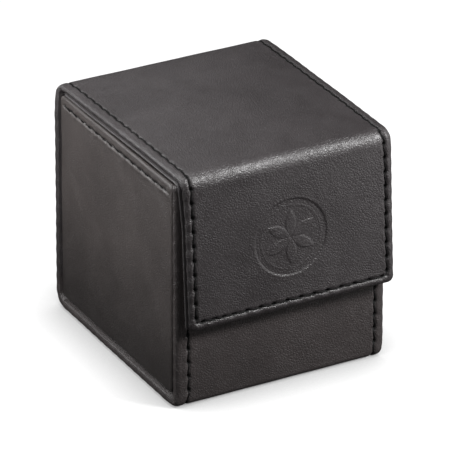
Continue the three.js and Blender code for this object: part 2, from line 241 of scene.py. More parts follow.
def shell(
    name,
    place,
    columns,
    rows,
    thickness,
    roll,
    corner=1.0,
    cut=(False, False),
    shift=None,
    relief=None,
    lip=0.25,
):
    """A closed sheet of leather or cloth. columns and rows are distances across and along it, place
    turns (across, along, depth) into points, thickness is one number or one for each row, roll is how
    wide and deep its edges turn over, corner is the radius of its corners, cut says which ends, first
    and last, are cut square, shift moves the columns of each row, relief raises the face, and lip is
    how much is taken off the edges of its back."""
    rows = np.asarray(rows, float)
    columns = np.asarray(columns, float)
    n, m = len(rows), len(columns)
    thick = np.broadcast_to(np.asarray(thickness, float), (n,))
    u, v = np.meshgrid(columns, rows)
    far = 1e3
    top = rows[0] - far if cut[0] else rows[0]
    bottom = rows[-1] + far if cut[1] else rows[-1]
    u, v, edge, outward = corner_rounded(u, v, columns[0], columns[-1], top, bottom, corner)
    wide, deep = roll
    lean = np.clip(1 - edge / wide, 0, 1)
    depth = deep * (1 - np.sqrt(1 - lean**2))
    raised = relief(u, v, edge) if relief else np.zeros(u.shape)
    moved = shift(u, v) if shift else 0.0
    level = np.sqrt(1 - lean**2)
    u_face = u + moved + outward[..., 0] * lean * raised
    v_face = v + outward[..., 1] * lean * raised
    face = place(u_face, v_face, depth - level * raised)
    ring = [(0, j) for j in range(m)] + [(i, m - 1) for i in range(1, n)]
    ring += [(n - 1, j) for j in range(m - 2, -1, -1)] + [(i, 0) for i in range(n - 2, 0, -1)]
    rows_of, columns_of = np.array(ring).T
    at = (rows_of, columns_of)
    low_u, low_v = u_face[at], v_face[at]
    bare = outward[at] * (lean[at] > 0)[:, None]
    wall = place(low_u, low_v, thick[rows_of] - lip)
    foot = place(low_u - bare[:, 0] * lip, low_v - bare[:, 1] * lip, thick[rows_of])
    vertices = np.concatenate([face.reshape(-1, 3), wall, foot])
    faces = []
    for i in range(n - 1):
        for j in range(m - 1):
            k = i * m + j
            faces.append((k, k + 1, k + m + 1, k + m))
    count = len(ring)
    ring_ids = rows_of * m + columns_of
    for k in range(count):
        after = (k + 1) % count
        faces.append((ring_ids[after], ring_ids[k], n * m + k, n * m + after))
        faces.append((n * m + after, n * m + k, n * m + count + k, n * m + count + after))
    foot_start = n * m + count
    left_foot = [foot_start + (count - i) % count for i in range(n)]
    right_foot = [foot_start + m - 1 + i for i in range(n)]
    first = 1 if cut[0] else next(i for i in range(n) if rows[i] - rows[0] > corner)
    last = n - 2 if cut[1] else next(i for i in range(n) if rows[-1] - rows[i] <= corner) - 1
    for i in range(first, last):
        faces.append((left_foot[i], left_foot[i + 1], right_foot[i + 1], right_foot[i]))
    start_row = list(range(foot_start, foot_start + m))
    end_row = list(range(right_foot[-1], right_foot[-1] + m))
    faces.append(tuple(start_row + right_foot[1 : first + 1] + left_foot[first:0:-1]))
    faces.append(tuple(right_foot[last : n - 1] + end_row + left_foot[n - 2 : last - 1 : -1]))
    bare_ring = np.zeros(2 * count)
    wear = np.concatenate([lean.reshape(-1) ** 2 * level.reshape(-1), bare_ring])
    # deep marks the insides of needle holes, which the leather paints near-black as a painted shade.
    deep = np.concatenate([np.clip((-raised.reshape(-1) - HOLE_START) / HOLE_RANGE, 0, 1), bare_ring])
    return make_mesh(name, vertices, faces, wear=wear, deep=deep)


def make_mesh(name, vertices, faces, **attributes):
    """A smooth mesh object from points in millimetres, with its faces turned outwards."""
    mesh = bpy.data.meshes.new(name)
    polygons = [tuple(int(i) for i in face) for face in faces]
    mesh.from_pydata((np.asarray(vertices) * MM).tolist(), [], polygons)
    for attribute, values in attributes.items():
        layer = mesh.attributes.new(attribute, "FLOAT", "POINT")
        layer.data.foreach_set("value", values.astype(np.float32))
    work = bmesh.new()
    work.from_mesh(mesh)
    bmesh.ops.recalc_face_normals(work, faces=work.faces)
    for polygon in work.faces:
        polygon.smooth = True
    work.to_mesh(mesh)
    work.free()
    mesh.set_sharp_from_angle(angle=SHARP_ANGLE)
    made = bpy.data.objects.new(name, mesh)
    bpy.context.scene.collection.objects.link(made)
    return made


# ---- the strap ----
def moved_in(corners, depths):
    """A path's corners with each straight part moved inwards by its own depth."""
    lines = []
    for before, after, depth in zip(corners, corners[1:], depths):
        start, end = np.array(before[:2], float), np.array(after[:2], float)
        heading = unit(end - start)
        shift = np.array((-heading[1], heading[0])) * depth
        lines.append((start + shift, end + shift, heading))
    moved = [(*lines[0][0], 0)]
    for corner, one, two, near, far in zip(corners[1:], lines, lines[1:], depths, depths[1:]):
        gap = two[0] - one[0]
        cross = one[2][0] * two[2][1] - one[2][1] * two[2][0]
        reach = (gap[0] * two[2][1] - gap[1] * two[2][0]) / cross
        meet = one[0] + one[2] * reach
        moved.append((*meet, max(corner[2] - max(near, far), 0.4)))
    return moved + [(*lines[-1][1], 0)]


class Strap:
    """A layer of the strap between two depths, each with a value for every straight part of its path."""

    def __init__(self, corners, near, far, start=0.0):
        self.outer = Path(moved_in(corners, near), start)
        self.inner = Path(moved_in(corners, far))
        self.end = self.outer.end

    def faces(self, along):
        along = np.asarray(along, float)
        matched = np.zeros(along.shape)
        for i, (mine, other) in enumerate(zip(self.outer.parts, self.inner.parts)):
            here = along >= mine[0] if i else np.ones(along.shape, bool)
            matched = np.where(here, other[0] + (along - mine[0]) / mine[4] * other[4], matched)
        return self.outer.at(along)[0], self.inner.at(matched)[0]

    def thickness(self, along):
        near, far = self.faces(along)
        return np.linalg.norm(far - near, axis=-1)

    def place(self, across, along, depth):
        near, far = self.faces(along)
        way = far - near
        spot = near + way / np.linalg.norm(way, axis=-1, keepdims=True) * np.asarray(depth)[..., None]
        return np.stack([np.broadcast_to(across, spot.shape[:-1]), spot[..., 0], spot[..., 1]], axis=-1)


def flap_y(z):
    """The flap's outer face at a height."""
    return FLAP_BOTTOM_Y + (z - FLAP_BOTTOM_Z) * math.tan(FLAP_LEAN)


LID_FRONT_Z = TOP_Z - LID_SAG
FRONT_CORNERS = [
    (FRONT_TOP_Y, WALL_TOP_Z + 0.3, 0),
    (FRONT_FOOT_Y, 0.0, BASE_FRONT_RADIUS),
    (BACK_Y, 0.0, BASE_REAR_RADIUS),
    (BACK_Y, SPLIT_Z, 0),
]
REAR_CORNERS = [(BACK_Y, SPLIT_Z, 0), (BACK_Y, TOP_Z, BEND_RADIUS), (0.0, TOP_Z, 0)]
LID_CORNERS = [
    (0.0, TOP_Z, 0),
    (LID_SAG_Y, TOP_Z, LID_SAG_RADIUS),
    (flap_y(LID_FRONT_Z), LID_FRONT_Z, BEND_RADIUS),
    (FLAP_BOTTOM_Y, FLAP_BOTTOM_Z, 0),
]
LINER_CORNERS = [(BACK_Y, HINGE_LINER_Z, 0)] + REAR_CORNERS[1:]

# The strap is measured along its outer face from the middle of the lid: less than 0 goes round the
# back and under the base to the top of the front, and more than 0 goes down the flap.
REAR_START = -Path(REAR_CORNERS).end
FRONT_START = REAR_START - Path(FRONT_CORNERS).end
REAR_PARTS = Path(REAR_CORNERS, REAR_START).parts
FRONT_PARTS = Path(FRONT_CORNERS, FRONT_START).parts
LID_PARTS = Path(LID_CORNERS).parts
BASE_RUN = FRONT_PARTS[2][0]
LID_RUN = REAR_PARTS[2][0]
FLAP_RUN = LID_PARTS[4][0]

# Places along the strap, and how far to the right of an even strap's edges its own are there.
LEFT_MOVES = (
    (BASE_RUN - 5, BASE_RUN + 3, LID_RUN - 14, LID_RUN - 2, LID_RUN + 6, FLAP_RUN - 8, FLAP_RUN + 10),
    (1.2, 0.0, 0.0, 0.8, 1.3, 2.6, 3.8),
)
RIGHT_MOVES = (
    (BASE_RUN - 6, BASE_RUN - 3, BASE_RUN + 1, BASE_RUN + 8, LID_RUN - 12, LID_RUN + 4),
    (0.0, -0.4, -1.2, -0.6, 0.0, 0.8),
)

# Places along the strap, and how far each seam is from its edge there.
LEFT_INSETS = (
    (BASE_RUN - 5, BASE_RUN + 5, LID_RUN, FLAP_RUN - 8, FLAP_RUN + 8),
    (4.4, 3.5, 3.3, 3.0, 2.2),
)
RIGHT_INSETS = ((BASE_RUN - 5, LID_RUN, FLAP_RUN - 8, FLAP_RUN + 8), (3.6, 3.4, 3.3, 2.8))

# Where the middle of the strap, which stays in place, passes into the edges, which move.
LEFT_FADE = (-34, -18)
RIGHT_FADE = (24, 35)
SCALLOP = 0.12
SCALLOP_FADE = 1.5


def scallop(u, v):
    """The rolled edges wander a little in and out between the stitches."""
    near_left = np.exp(-np.clip(u + HALF_WIDTH, 0, None) / SCALLOP_FADE)
    near_right = np.exp(-np.clip(HALF_WIDTH - u, 0, None) / SCALLOP_FADE)
    turn = 0.5 - 0.5 * np.cos(2 * math.pi * v / STITCH)
    return SCALLOP * (near_right - near_left) * turn


def strap_shift(u, v):
    """How far to the right a point lies of its place on an even strap."""
    left = np.interp(v, *LEFT_MOVES) * (1 - smooth(*LEFT_FADE, u))
    right = np.interp(v, *RIGHT_MOVES) * smooth(*RIGHT_FADE, u)
    return left + right + scallop(u, v)


def left_seam(v):
    return -HALF_WIDTH + np.interp(v, *LEFT_INSETS)


def right_seam(v):
    return HALF_WIDTH - np.interp(v, *RIGHT_INSETS)


# ---- seams ----
# The leather beside a seam: SWELL is on the edge's side of it and RISE on the other, each a place and a
# width.
SEAM_WANDER = 0.12
CREASE_DEPTH, CREASE_WIDTH = 0.38, 0.5
PIT_DEPTH, PIT_WIDTH, PIT_LENGTH = 0.95, 0.55, 0.7
SWELL_HEIGHT, SWELL = 0.24, (1.2, 0.75)
RISE_HEIGHT, RISE = 0.08, (-1.1, 0.7)

# A thread: where it starts and how much it covers, as shares of a stitch, and how it lies in its crease.
THREAD_SIDES, THREAD_RINGS = 8, 7
THREAD_START, THREAD_SHARE = 0.15, 0.7
THREAD_LEAN, THREAD_LEAN_CHANGE = 0.26, 0.06
THREAD_BOW, THREAD_SINK = 0.3, 0.5
THREAD_FLATNESS = 0.85


def seam_relief(across, along):
    """The leather beside a seam: a crease, a pit at each needle hole, and a swelling between holes on
    the edge's side, which is where across is positive."""
    turn = along / STITCH
    from_hole = (turn - np.round(turn)) * STITCH
    uneven = 0.75 + 0.25 * np.sin(np.floor(turn) * 2.4 + 1.0)
    between = 0.5 - 0.5 * np.cos(2 * math.pi * turn)
    across = across + SEAM_WANDER * np.sin(2 * math.pi * turn)
    crease = -CREASE_DEPTH * hill(across, 0, CREASE_WIDTH)
    pit = -PIT_DEPTH * np.exp(-((across / PIT_WIDTH) ** 2) - (from_hole / PIT_LENGTH) ** 2)
    swell = SWELL_HEIGHT * uneven * between * hill(across, *SWELL)
    return crease + pit + swell + RISE_HEIGHT * between * hill(across, *RISE)


def stitches(place, seam, start, stop):
    """Vertices and faces of one seam's threads. seam(across, along) turns distances from the seam into
    places on the leather, and place(across, along, depth) turns those into points."""
    vertices, faces = [], []
    first, last = math.ceil(start / STITCH), math.floor(stop / STITCH)
    for k in range(first, last):
        lean = THREAD_LEAN + THREAD_LEAN_CHANGE * math.sin(k * 1.7)
        base = len(vertices)
        for i in range(THREAD_RINGS):
            t = i / (THREAD_RINGS - 1)
            run = (k + THREAD_START + THREAD_SHARE * t) * STITCH
            bow = abs(math.sin(math.pi * t)) ** 0.5
            rise = THREAD_BOW * bow - THREAD_SINK
            fat = THREAD_RADIUS * (0.55 + 0.45 * bow)
            for j in range(THREAD_SIDES):
                turn = 2 * math.pi * j / THREAD_SIDES
                across = lean * (2 * t - 1) + fat * math.cos(turn)
                depth = -rise - fat * THREAD_FLATNESS * math.sin(turn)
                vertices.append((across, run, depth))
        for i in range(THREAD_RINGS - 1):
            ring = base + i * THREAD_SIDES
            for j in range(THREAD_SIDES):
                a, b = ring + j, ring + (j + 1) % THREAD_SIDES
                faces.append((a, b, b + THREAD_SIDES, a + THREAD_SIDES))
        faces.append(tuple(base + j for j in range(THREAD_SIDES)))
        faces.append(tuple(base + (THREAD_RINGS - 1) * THREAD_SIDES + j for j in range(THREAD_SIDES)))
    local = np.array(vertices)
    across, along = seam(local[:, 0], local[:, 1])
    return place(across, along, local[:, 2]), faces


def join_threads(name, seams):
    """One mesh from several seams' threads."""
    vertices, faces, start = [], [], 0
    for points, polygons in seams:
        vertices.append(points)
        faces += [tuple(i + start for i in polygon) for polygon in polygons]
        start += len(points)
    return make_mesh(name, np.concatenate(vertices), faces)


# ---- materials ----
# Heights of the bumps and of the painted shade towards the bottom, in metres, and how many pebbles there
# are in a metre.
PEBBLES = 1100.0
PEBBLE_BUMP = 0.000095
SOFT_BUMP = 0.00022
NAP_BUMP = 0.00012
FIBRE_BUMP = 0.0001
TWIST_BUMP = 0.00005
SCRATCH_BUMP = 0.00001
SHADE_FOOT_Z, SHADE_TOP_Z = 0.004, 0.042
BLACK = (0.0, 0.0, 0.0)
# Painted shade inside the needle holes.
PAINTED_HOLE_SHADE = (0.002, 0.002, 0.002)
HOLE_ROUGHNESS = 0.6


class Nodes:
    """A short way to add and join the nodes of one material."""

    def __init__(self, name):
        self.material = bpy.data.materials.new(name)
        self.material.use_nodes = True
        self.tree = self.material.node_tree
        self.tree.nodes.clear()
        self.output = self.add("OutputMaterial")
        self.shader = self.add("BsdfPrincipled")
        self.join(self.shader, "BSDF", self.output, "Surface")
        self.where = self.add("TexCoord")

    def add(self, kind, **settings):
        node = self.tree.nodes.new("ShaderNode" + kind)
        for key, value in settings.items():
            if hasattr(node, key) and key not in node.inputs:
                setattr(node, key, value)
            else:
                node.inputs[key].default_value = value
        return node

    def join(self, source, out, target, into):
        self.tree.links.new(source.outputs[out], target.inputs[into])

    def spot(self, scale=(1, 1, 1)):
        """Object coordinates, in metres, stretched by scale."""
        mapping = self.add("Mapping", Scale=scale)
        self.join(self.where, "Object", mapping, "Vector")
        return mapping

    def noise(self, scale, detail=2.0, rough=0.5, stretch=(1, 1, 1)):
        node = self.add("TexNoise", Scale=scale, Detail=detail, Roughness=rough)
        self.join(self.spot(stretch), "Vector", node, "Vector")
        return node

    def ranged(self, source, out, low, high, to_low, to_high):
        node = self.add("MapRange")
        limits = {"From Min": low, "From Max": high, "To Min": to_low, "To Max": to_high}
        for key, value in limits.items():
            node.inputs[key].default_value = value
        self.join(source, out, node, "Value")
        return node

    def math(self, operation, a, b):
        node = self.add("Math", operation=operation)
        for i, value in enumerate((a, b)):
            if isinstance(value, (int, float)):
                node.inputs[i].default_value = value
            else:
                self.tree.links.new(value.outputs[0], node.inputs[i])
        return node

    def blend_colours(self, factor, one, two):
        node = self.add("Mix", data_type="RGBA")
        self.tree.links.new(factor.outputs[0], node.inputs[0])
        for index, colour in ((6, one), (7, two)):
            if isinstance(colour, tuple):
                node.inputs[index].default_value = (*colour, 1.0)
            else:
                self.tree.links.new(colour.outputs[2], node.inputs[index])
        return node

    def bump(self, height, distance, strength=1.0, under=None):
        node = self.add("Bump", Strength=strength, Distance=distance)
        self.tree.links.new(height.outputs[0], node.inputs["Height"])
        if under:
            self.tree.links.new(under.outputs[0], node.inputs["Normal"])
        return node


def leather(name, dark, light, rough=(0.4, 0.56), grain=1.0, foot=1.0):
    """Fine-grained calf: pebbles just under a millimetre across with creases between them, finer pores
    on top, and soft unevenness below. foot is how much of its colour is left at the bottom of the box:
    the colour is painted darker towards the bottom, a painted shade."""
    m = Nodes(name)
    warp = m.noise(420.0, 2.0)
    offset = m.add("VectorMath", operation="SCALE", Scale=0.0012)
    m.join(warp, "Color", offset, 0)
    moved = m.add("VectorMath", operation="ADD")
    m.join(m.where, "Object", moved, 0)
    m.join(offset, 0, moved, 1)
    pebbles = m.add("TexVoronoi", feature="DISTANCE_TO_EDGE", Scale=PEBBLES, Randomness=1.0)
    m.join(moved, 0, pebbles, "Vector")
    pebble_height = m.ranged(pebbles, "Distance", 0.0, 0.28, 0.0, 1.0)
    pebble_height.interpolation_type = "SMOOTHSTEP"
    pores = m.noise(5200.0, 3.0, 0.6)
    soft = m.noise(240.0, 3.0, 0.55)
    uneven = m.noise(38.0, 2.0, 0.5)
    patch = m.ranged(m.noise(70.0, 3.0, 0.6), "Fac", 0.3, 0.7, 0.45, 1.0)
    pebbled = m.math("MULTIPLY", pebble_height, patch)
    fine = m.math("ADD", m.math("MULTIPLY", pebbled, 0.85), m.math("MULTIPLY", pores, 0.22))
    first = m.bump(m.math("ADD", soft, m.math("MULTIPLY", uneven, 1.4)), SOFT_BUMP, 0.5)
    second = m.bump(fine, PEBBLE_BUMP * grain, 1.0, first)
    m.join(second, 0, m.shader, "Normal")
    tone = m.ranged(m.noise(55.0, 4.0, 0.6), "Fac", 0.3, 0.7, 0.0, 1.0)
    mottled = m.blend_colours(tone, dark, light)
    crease = m.ranged(pebbles, "Distance", 0.0, 0.12, 0.35, 0.0)
    creased = m.blend_colours(crease, mottled, tuple(c * 0.55 for c in dark))
    worn = m.add("Attribute", attribute_name="wear")
    wear = m.math("MULTIPLY", m.ranged(worn, "Fac", 0.25, 1.0, 0.0, 0.35), m.noise(300.0, 3.0))
    rubbed = m.blend_colours(wear, creased, tuple(c * 1.7 for c in light))
    # The insides of needle holes are painted near-black, a painted shade, and made rougher.
    hole = m.ranged(m.add("Attribute", attribute_name="deep"), "Fac", 0.0, 0.7, 0.0, 1.0)
    # Below, the colour is painted darker towards the bottom of the box, a painted shade.
    height = m.add("SeparateXYZ")
    m.join(m.where, "Object", height, "Vector")
    deeper = m.ranged(height, "Z", SHADE_FOOT_Z, SHADE_TOP_Z, 1.0 - foot, 0.0)
    shaded_to_bottom = m.blend_colours(deeper, rubbed, BLACK)
    m.join(m.blend_colours(hole, shaded_to_bottom, PAINTED_HOLE_SHADE), 2, m.shader, "Base Color")
    gloss = m.ranged(m.noise(160.0, 4.0, 0.6), "Fac", 0.3, 0.7, *rough)
    m.join(m.math("ADD", gloss, m.math("MULTIPLY", hole, HOLE_ROUGHNESS)), 0, m.shader, "Roughness")
    return m.material


def suede(name, dark, light):
    """Short-nap microfibre, with the nap brushed this way and that."""
    m = Nodes(name)
    nap = m.noise(2600.0, 4.0, 0.7)
    brushed = m.noise(45.0, 3.0, 0.6, (1, 1, 0.5))
    m.join(m.bump(nap, NAP_BUMP, 0.8), 0, m.shader, "Normal")
    mixed = m.math("ADD", m.math("MULTIPLY", nap, 0.4), m.math("MULTIPLY", brushed, 0.75))
    tone = m.ranged(mixed, 0, 0.4, 0.75, 0.0, 1.0)
    m.join(m.blend_colours(tone, dark, light), 2, m.shader, "Base Color")
    m.shader.inputs["Roughness"].default_value = 0.95
    m.shader.inputs["Specular IOR Level"].default_value = 0.15
    m.shader.inputs["Sheen Weight"].default_value = 0.35
    m.shader.inputs["Sheen Roughness"].default_value = 0.5
    return m.material


def waxed_thread(name, dark, light):
    """Twisted black thread with a waxed shine."""
    m = Nodes(name)
    twist = m.add("TexWave", bands_direction="DIAGONAL", Scale=1100.0, Distortion=2.0)
    m.join(m.spot(), "Vector", twist, "Vector")
    m.join(m.bump(twist, TWIST_BUMP, 0.7), 0, m.shader, "Normal")
    tone = m.ranged(twist, "Fac", 0.2, 0.8, 0.0, 1.0)
    m.join(m.blend_colours(tone, dark, light), 2, m.shader, "Base Color")
    m.join(m.ranged(m.noise(900.0), "Fac", 0.3, 0.7, 0.55, 0.75), 0, m.shader, "Roughness")
    m.shader.inputs["Specular IOR Level"].default_value = 0.08
    return m.material


def greyboard(name):
    """Pressed grey cardboard, flecked with fibres."""
    m = Nodes(name)
    fibre = m.noise(900.0, 5.0, 0.7, (1, 1, 4))
    m.join(m.bump(fibre, FIBRE_BUMP, 0.5), 0, m.shader, "Normal")
    tone = m.ranged(fibre, "Fac", 0.35, 0.65, 0.0, 1.0)
    tint = m.blend_colours(tone, (0.13, 0.115, 0.1), (0.2, 0.18, 0.155))
    m.join(tint, 2, m.shader, "Base Color")
    m.shader.inputs["Roughness"].default_value = 0.9
    return m.material


def plated_steel(name):
    """Nickel-plated steel with faint handling marks."""
    m = Nodes(name)
    m.shader.inputs["Base Color"].default_value = (0.55, 0.54, 0.53, 1.0)
    m.shader.inputs["Metallic"].default_value = 1.0
    m.join(m.ranged(m.noise(700.0, 4.0, 0.6), "Fac", 0.3, 0.7, 0.22, 0.38), 0, m.shader, "Roughness")
    m.join(m.bump(m.noise(1500.0, 2.0), SCRATCH_BUMP, 0.4), 0, m.shader, "Normal")
    return m.material


# A foot below 1 paints a leather darker towards the bottom of the box, a painted shade.
STRAP_LEATHER = leather(
    "strap_leather", (0.0215, 0.0185, 0.0192), (0.0325, 0.0285, 0.0295), (0.39, 0.5), grain=1.1
)
FRONT_LEATHER = leather(
    "front_leather",
    (0.031, 0.0262, 0.026),
    (0.046, 0.039, 0.0386),
    (0.39, 0.5),
    grain=1.1,
    foot=0.8,
)
PANEL_LEATHER = leather(
    "panel_leather",
    (0.034, 0.0288, 0.0278),
    (0.0495, 0.0425, 0.0408),
    (0.42, 0.54),
    grain=0.6,
    foot=0.42,
)
LINER_LEATHER = leather(
    "liner_leather", (0.03, 0.027, 0.028), (0.044, 0.04, 0.041), (0.45, 0.6), grain=0.5
)
SUEDE = suede("suede", (0.018, 0.017, 0.018), (0.045, 0.043, 0.045))
THREAD = waxed_thread("thread", (0.003, 0.003, 0.003), (0.008, 0.0075, 0.0075))
GREYBOARD = greyboard("greyboard")
STEEL = plated_steel("plated_steel")


def finish_piece(piece, material, slot, *nodes):
    piece.data.materials.clear()
    piece.data.materials.append(material)
    if nodes:
        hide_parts(*nodes)
    return piece


# ---- strap pieces ----
# How wide and deep the strap's edges turn over.
ROLL = (2.0, 1.15)
FRONT_ROLL = (1.7, 1.1)

# The columns are close together within SEAM_COLUMNS of an edge.
SEAM_COLUMNS = 5.6
SEAM_STEP = 0.24
ROW_STEP = 0.45
MIDDLE_COLUMNS = spread(-36, (36, 1.5))

# Two points on each hinge, handed to bend_at, which does not use them. The liner's lie closer to the
# flap's axis than the leather's, meant to keep it clear of the tops of the walls.
BEND_REACH = 7.5
FLAP_BEND_BACK, FLAP_BEND_DROP = 6.0, 7.0
LINER_BEND_BACK_Y, LINER_BEND_FRONT_Y = -40.8, -42.6
LINER_BEND_TOP, LINER_BEND_DROP = 2.5, 7.1
LID_HINGE = ((BACK_Y, TOP_Z - BEND_REACH), (BACK_Y - BEND_REACH, TOP_Z))
FLAP_HINGE = (
    (flap_y(TOP_Z) + FLAP_BEND_BACK, TOP_Z),
    (flap_y(TOP_Z - FLAP_BEND_DROP), TOP_Z - FLAP_BEND_DROP),
)
LINER_HINGE = (
    (LINER_BEND_BACK_Y, TOP_Z - LINER_BEND_TOP),
    (LINER_BEND_FRONT_Y, TOP_Z - LINER_BEND_DROP),
)


def bend_at(piece, one, two, ends):
    start, end = (Vector((0.0, y, z)) * MM for y, z in ends)
    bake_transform(piece)


def strap_columns(middle, roll=ROLL):
    """Columns close together at the rolled edges and the seams, with the given ones in between."""
    edge = np.concatenate([rolled(roll[0]), spread(roll[0], (SEAM_COLUMNS, SEAM_STEP))[1:]])
    limit = HALF_WIDTH - SEAM_COLUMNS - 0.2
    inner = middle[np.abs(middle) < limit]
    return np.concatenate([edge - HALF_WIDTH, inner, (HALF_WIDTH - edge)[::-1]])


def unevenness(u, v, edge=None):
    """The slow waves of leather pasted over board."""
    slow = np.sin(u / 7.3 + 0.8 * np.sin(v / 11.0)) * np.sin(v / 9.1 + 0.5)
    return 0.035 * slow + 0.021 * np.sin(u / 3.1 + v / 4.3)


def side_seams(u, v):
    return seam_relief(left_seam(v) - u, v) + seam_relief(u - right_seam(v), v)


def strap_relief(u, v, edge):
    return side_seams(u, v) + unevenness(u, v)


def laid_on(strap):
    return lambda u, v, d: strap.place(u + strap_shift(u, v), v, d)


def side_threads(name, strap, start, stop, *more):
    """The threads of both long edges, and any more given."""
    place = laid_on(strap)
    seams = [
        stitches(place, lambda across, along: (left_seam(along) - across, along), start, stop),
        stitches(place, lambda across, along: (right_seam(along) + across, along), start, stop),
    ]
    return join_threads(name, seams + list(more))


def make_front():
    """The front wall and the base."""
    strap = Strap(FRONT_CORNERS, (0, 0, 0), (FRONT_DEPTH, BASE_DEPTH, BACK_DEPTH), FRONT_START)
    top_roll = 0.9
    below = spread(top_roll, (strap.end - FRONT_START, ROW_STEP))[1:]
    rows = np.concatenate([rolled(top_roll, 5), below]) + FRONT_START
    piece = shell(
        "front_and_base_leather",
        strap.place,
        strap_columns(MIDDLE_COLUMNS, FRONT_ROLL),
        rows,
        strap.thickness(rows),
        roll=FRONT_ROLL,
        corner=1.2,
        cut=(False, True),
        shift=strap_shift,
        relief=strap_relief,
    )
    nodes = ("front_leather", "base_leather", "front_board", "bottom_board")
    finish_piece(piece, FRONT_LEATHER, "outer_leather", *nodes)
    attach(piece, "box")
    threads = side_threads("front_and_base_threads", strap, FRONT_START + 1.5, strap.end)
    nodes = [f"{e}_seam_thread" for e in ("front_left", "front_right", "base_left", "base_right")]
    finish_piece(threads, THREAD, "seam_thread", *nodes)
    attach(threads, "box")


def make_rear():
    """The back, the rear bend and the rear half of the lid."""
    strap = Strap(REAR_CORNERS, (0, 0), (BACK_DEPTH, LID_DEPTH), REAR_START)
    rows = spread(REAR_START, (0, ROW_STEP))
    piece = shell(
        "back_and_lid_leather",
        strap.place,
        strap_columns(MIDDLE_COLUMNS),
        rows,
        strap.thickness(rows),
        roll=ROLL,
        cut=(True, True),
        shift=strap_shift,
        relief=strap_relief,
    )
    finish_piece(piece, STRAP_LEATHER, "outer_leather", "back_leather", "back_board")
    bend_at(piece, "box", "lid", LID_HINGE)
    threads = side_threads("back_and_lid_threads", strap, REAR_START, 0)
    finish_piece(threads, THREAD, "seam_thread", "back_left_seam_thread", "back_right_seam_thread")
    bend_at(threads, "box", "lid", LID_HINGE)


# ---- the lid's front half and the flap, with the mark ----
# Heights within the mark, and the grid round it: round within the first of MARK_ZONE's radii, and square
# beyond the second.
DISC_DEPTH = 0.26
LIP_HEIGHT = 0.03
RING_HEIGHT, RING_RADIUS = 0.07, 0.82 * MARK_RADIUS
PETALS, PETAL_HEIGHT, PETAL_HALF_WIDTH = 6, 0.19, 2.1
MARK_ZONE = (MARK_RADIUS * 1.02, MARK_RADIUS * 1.42)
MARK_STEP = MARK_RADIUS / 54


def mark_relief(x, y):
    """A plain debossed disc with a six-petalled rosette standing up from it."""
    r = np.hypot(x, y)
    sunk = -DISC_DEPTH * (1 - smooth(MARK_RADIUS - 0.55, MARK_RADIUS, r))
    lip = LIP_HEIGHT * hill(r - MARK_RADIUS, 0.35, 0.4)
    ring = RING_HEIGHT * hill(r, RING_RADIUS, 0.32)
    petals = np.zeros(x.shape)
    reach = 0.72 * MARK_RADIUS
    for k in range(PETALS):
        turn = math.pi / 6 + k * math.pi / 3
        along = x * math.cos(turn) + y * math.sin(turn)
        beside = np.abs(y * math.cos(turn) - x * math.sin(turn))
        half = PETAL_HALF_WIDTH * np.sin(np.clip(along / reach, 0, 1) * math.pi) ** 0.8
        petals = np.maximum(petals, smooth(0.0, 0.6, np.where(half > 0, half - beside, -1)))
    return sunk + lip + ring + petals * PETAL_HEIGHT


def mark_warp(u, v, centre):
    """Pulls the square grid round the mark into rings, so that its rim falls on grid lines."""
    x, y = u - MARK_X, v - centre
    square, true = np.maximum(np.abs(x), np.abs(y)), np.hypot(x, y)
    share = 1 - smooth(*MARK_ZONE, square)
    factor = 1 + share * (square / np.where(true > 0, true, 1) - 1)
    return x * factor, y * factor


def make_lid_and_flap():
    """The front half of the lid, the front bend and the flap."""
    strap = Strap(LID_CORNERS, (0, 0, 0), (LID_DEPTH, LID_DEPTH, FLAP_DEPTH))
    centre = strap.end - (MARK_Z - FLAP_BOTTOM_Z) / math.cos(FLAP_LEAN)
    bend = LID_PARTS[3][0]
    wide = MARK_RADIUS * 1.44
    before = spread(
        -33, (MARK_X - wide, 1.3), (MARK_X - MARK_RADIUS, 0.5), (MARK_X + MARK_RADIUS, MARK_STEP)
    )
    after = spread(MARK_X + MARK_RADIUS, (MARK_X + wide, 0.5), (33, 1.3))
    top, bottom = centre - MARK_RADIUS, centre + MARK_RADIUS
    rows = spread(
        0, (bend - 1, 0.5), (bend + 9, 0.33), (top - 2, ROW_STEP), (top, 0.35), (bottom, MARK_STEP)
    )
    rows = np.concatenate([rows, spread(bottom, (strap.end - ROLL[0], 0.3))[1:]])
    rows = np.concatenate([rows, (strap.end - rolled(ROLL[0], 8))[::-1][1:]])
    foot = strap.end - HEM_INSET

    def place(u, v, d):
        x, y = mark_warp(u, v, centre)
        return strap.place(MARK_X + x, centre + y, d)

    def relief(u, v, edge):
        legs = side_seams(u, v) * (1 - smooth(foot - 0.5, foot + 0.6, v))
        inside = smooth(-0.6, 0.5, u - left_seam(v)) * (1 - smooth(-0.5, 0.6, u - right_seam(v)))
        hem = seam_relief(v - foot, u) * inside
        return legs + hem + unevenness(u, v) + mark_relief(*mark_warp(u, v, centre))

    piece = shell(
        "lid_and_flap_leather",
        place,
        strap_columns(np.concatenate([before, after[1:]])),
        rows,
        strap.thickness(rows),
        roll=ROLL,
        corner=2.1,
        cut=(True, False),
        shift=strap_shift,
        relief=relief,
    )
    nodes = ("lid_leather", "flap_leather", "lid_board", "flap_board")
    finish_piece(piece, STRAP_LEATHER, "outer_leather", *nodes)
    bend_at(piece, "lid", "flap", FLAP_HINGE)
    hem = stitches(
        laid_on(strap),
        lambda across, along: (along, foot + across),
        left_seam(foot),
        right_seam(foot),
    )
    threads = side_threads("lid_and_flap_threads", strap, 0, foot + 0.3, hem)
    nodes = ("lid_left_seam_thread", "lid_right_seam_thread", "flap_seam_thread")
    finish_piece(threads, THREAD, "seam_thread", *nodes)
    bend_at(threads, "lid", "flap", FLAP_HINGE)


# ---- liners of the lid and flap ----
LINER_ROLL = (0.35, 0.3)
LINER_LIP = 0.15
LINER_STEP = 0.7

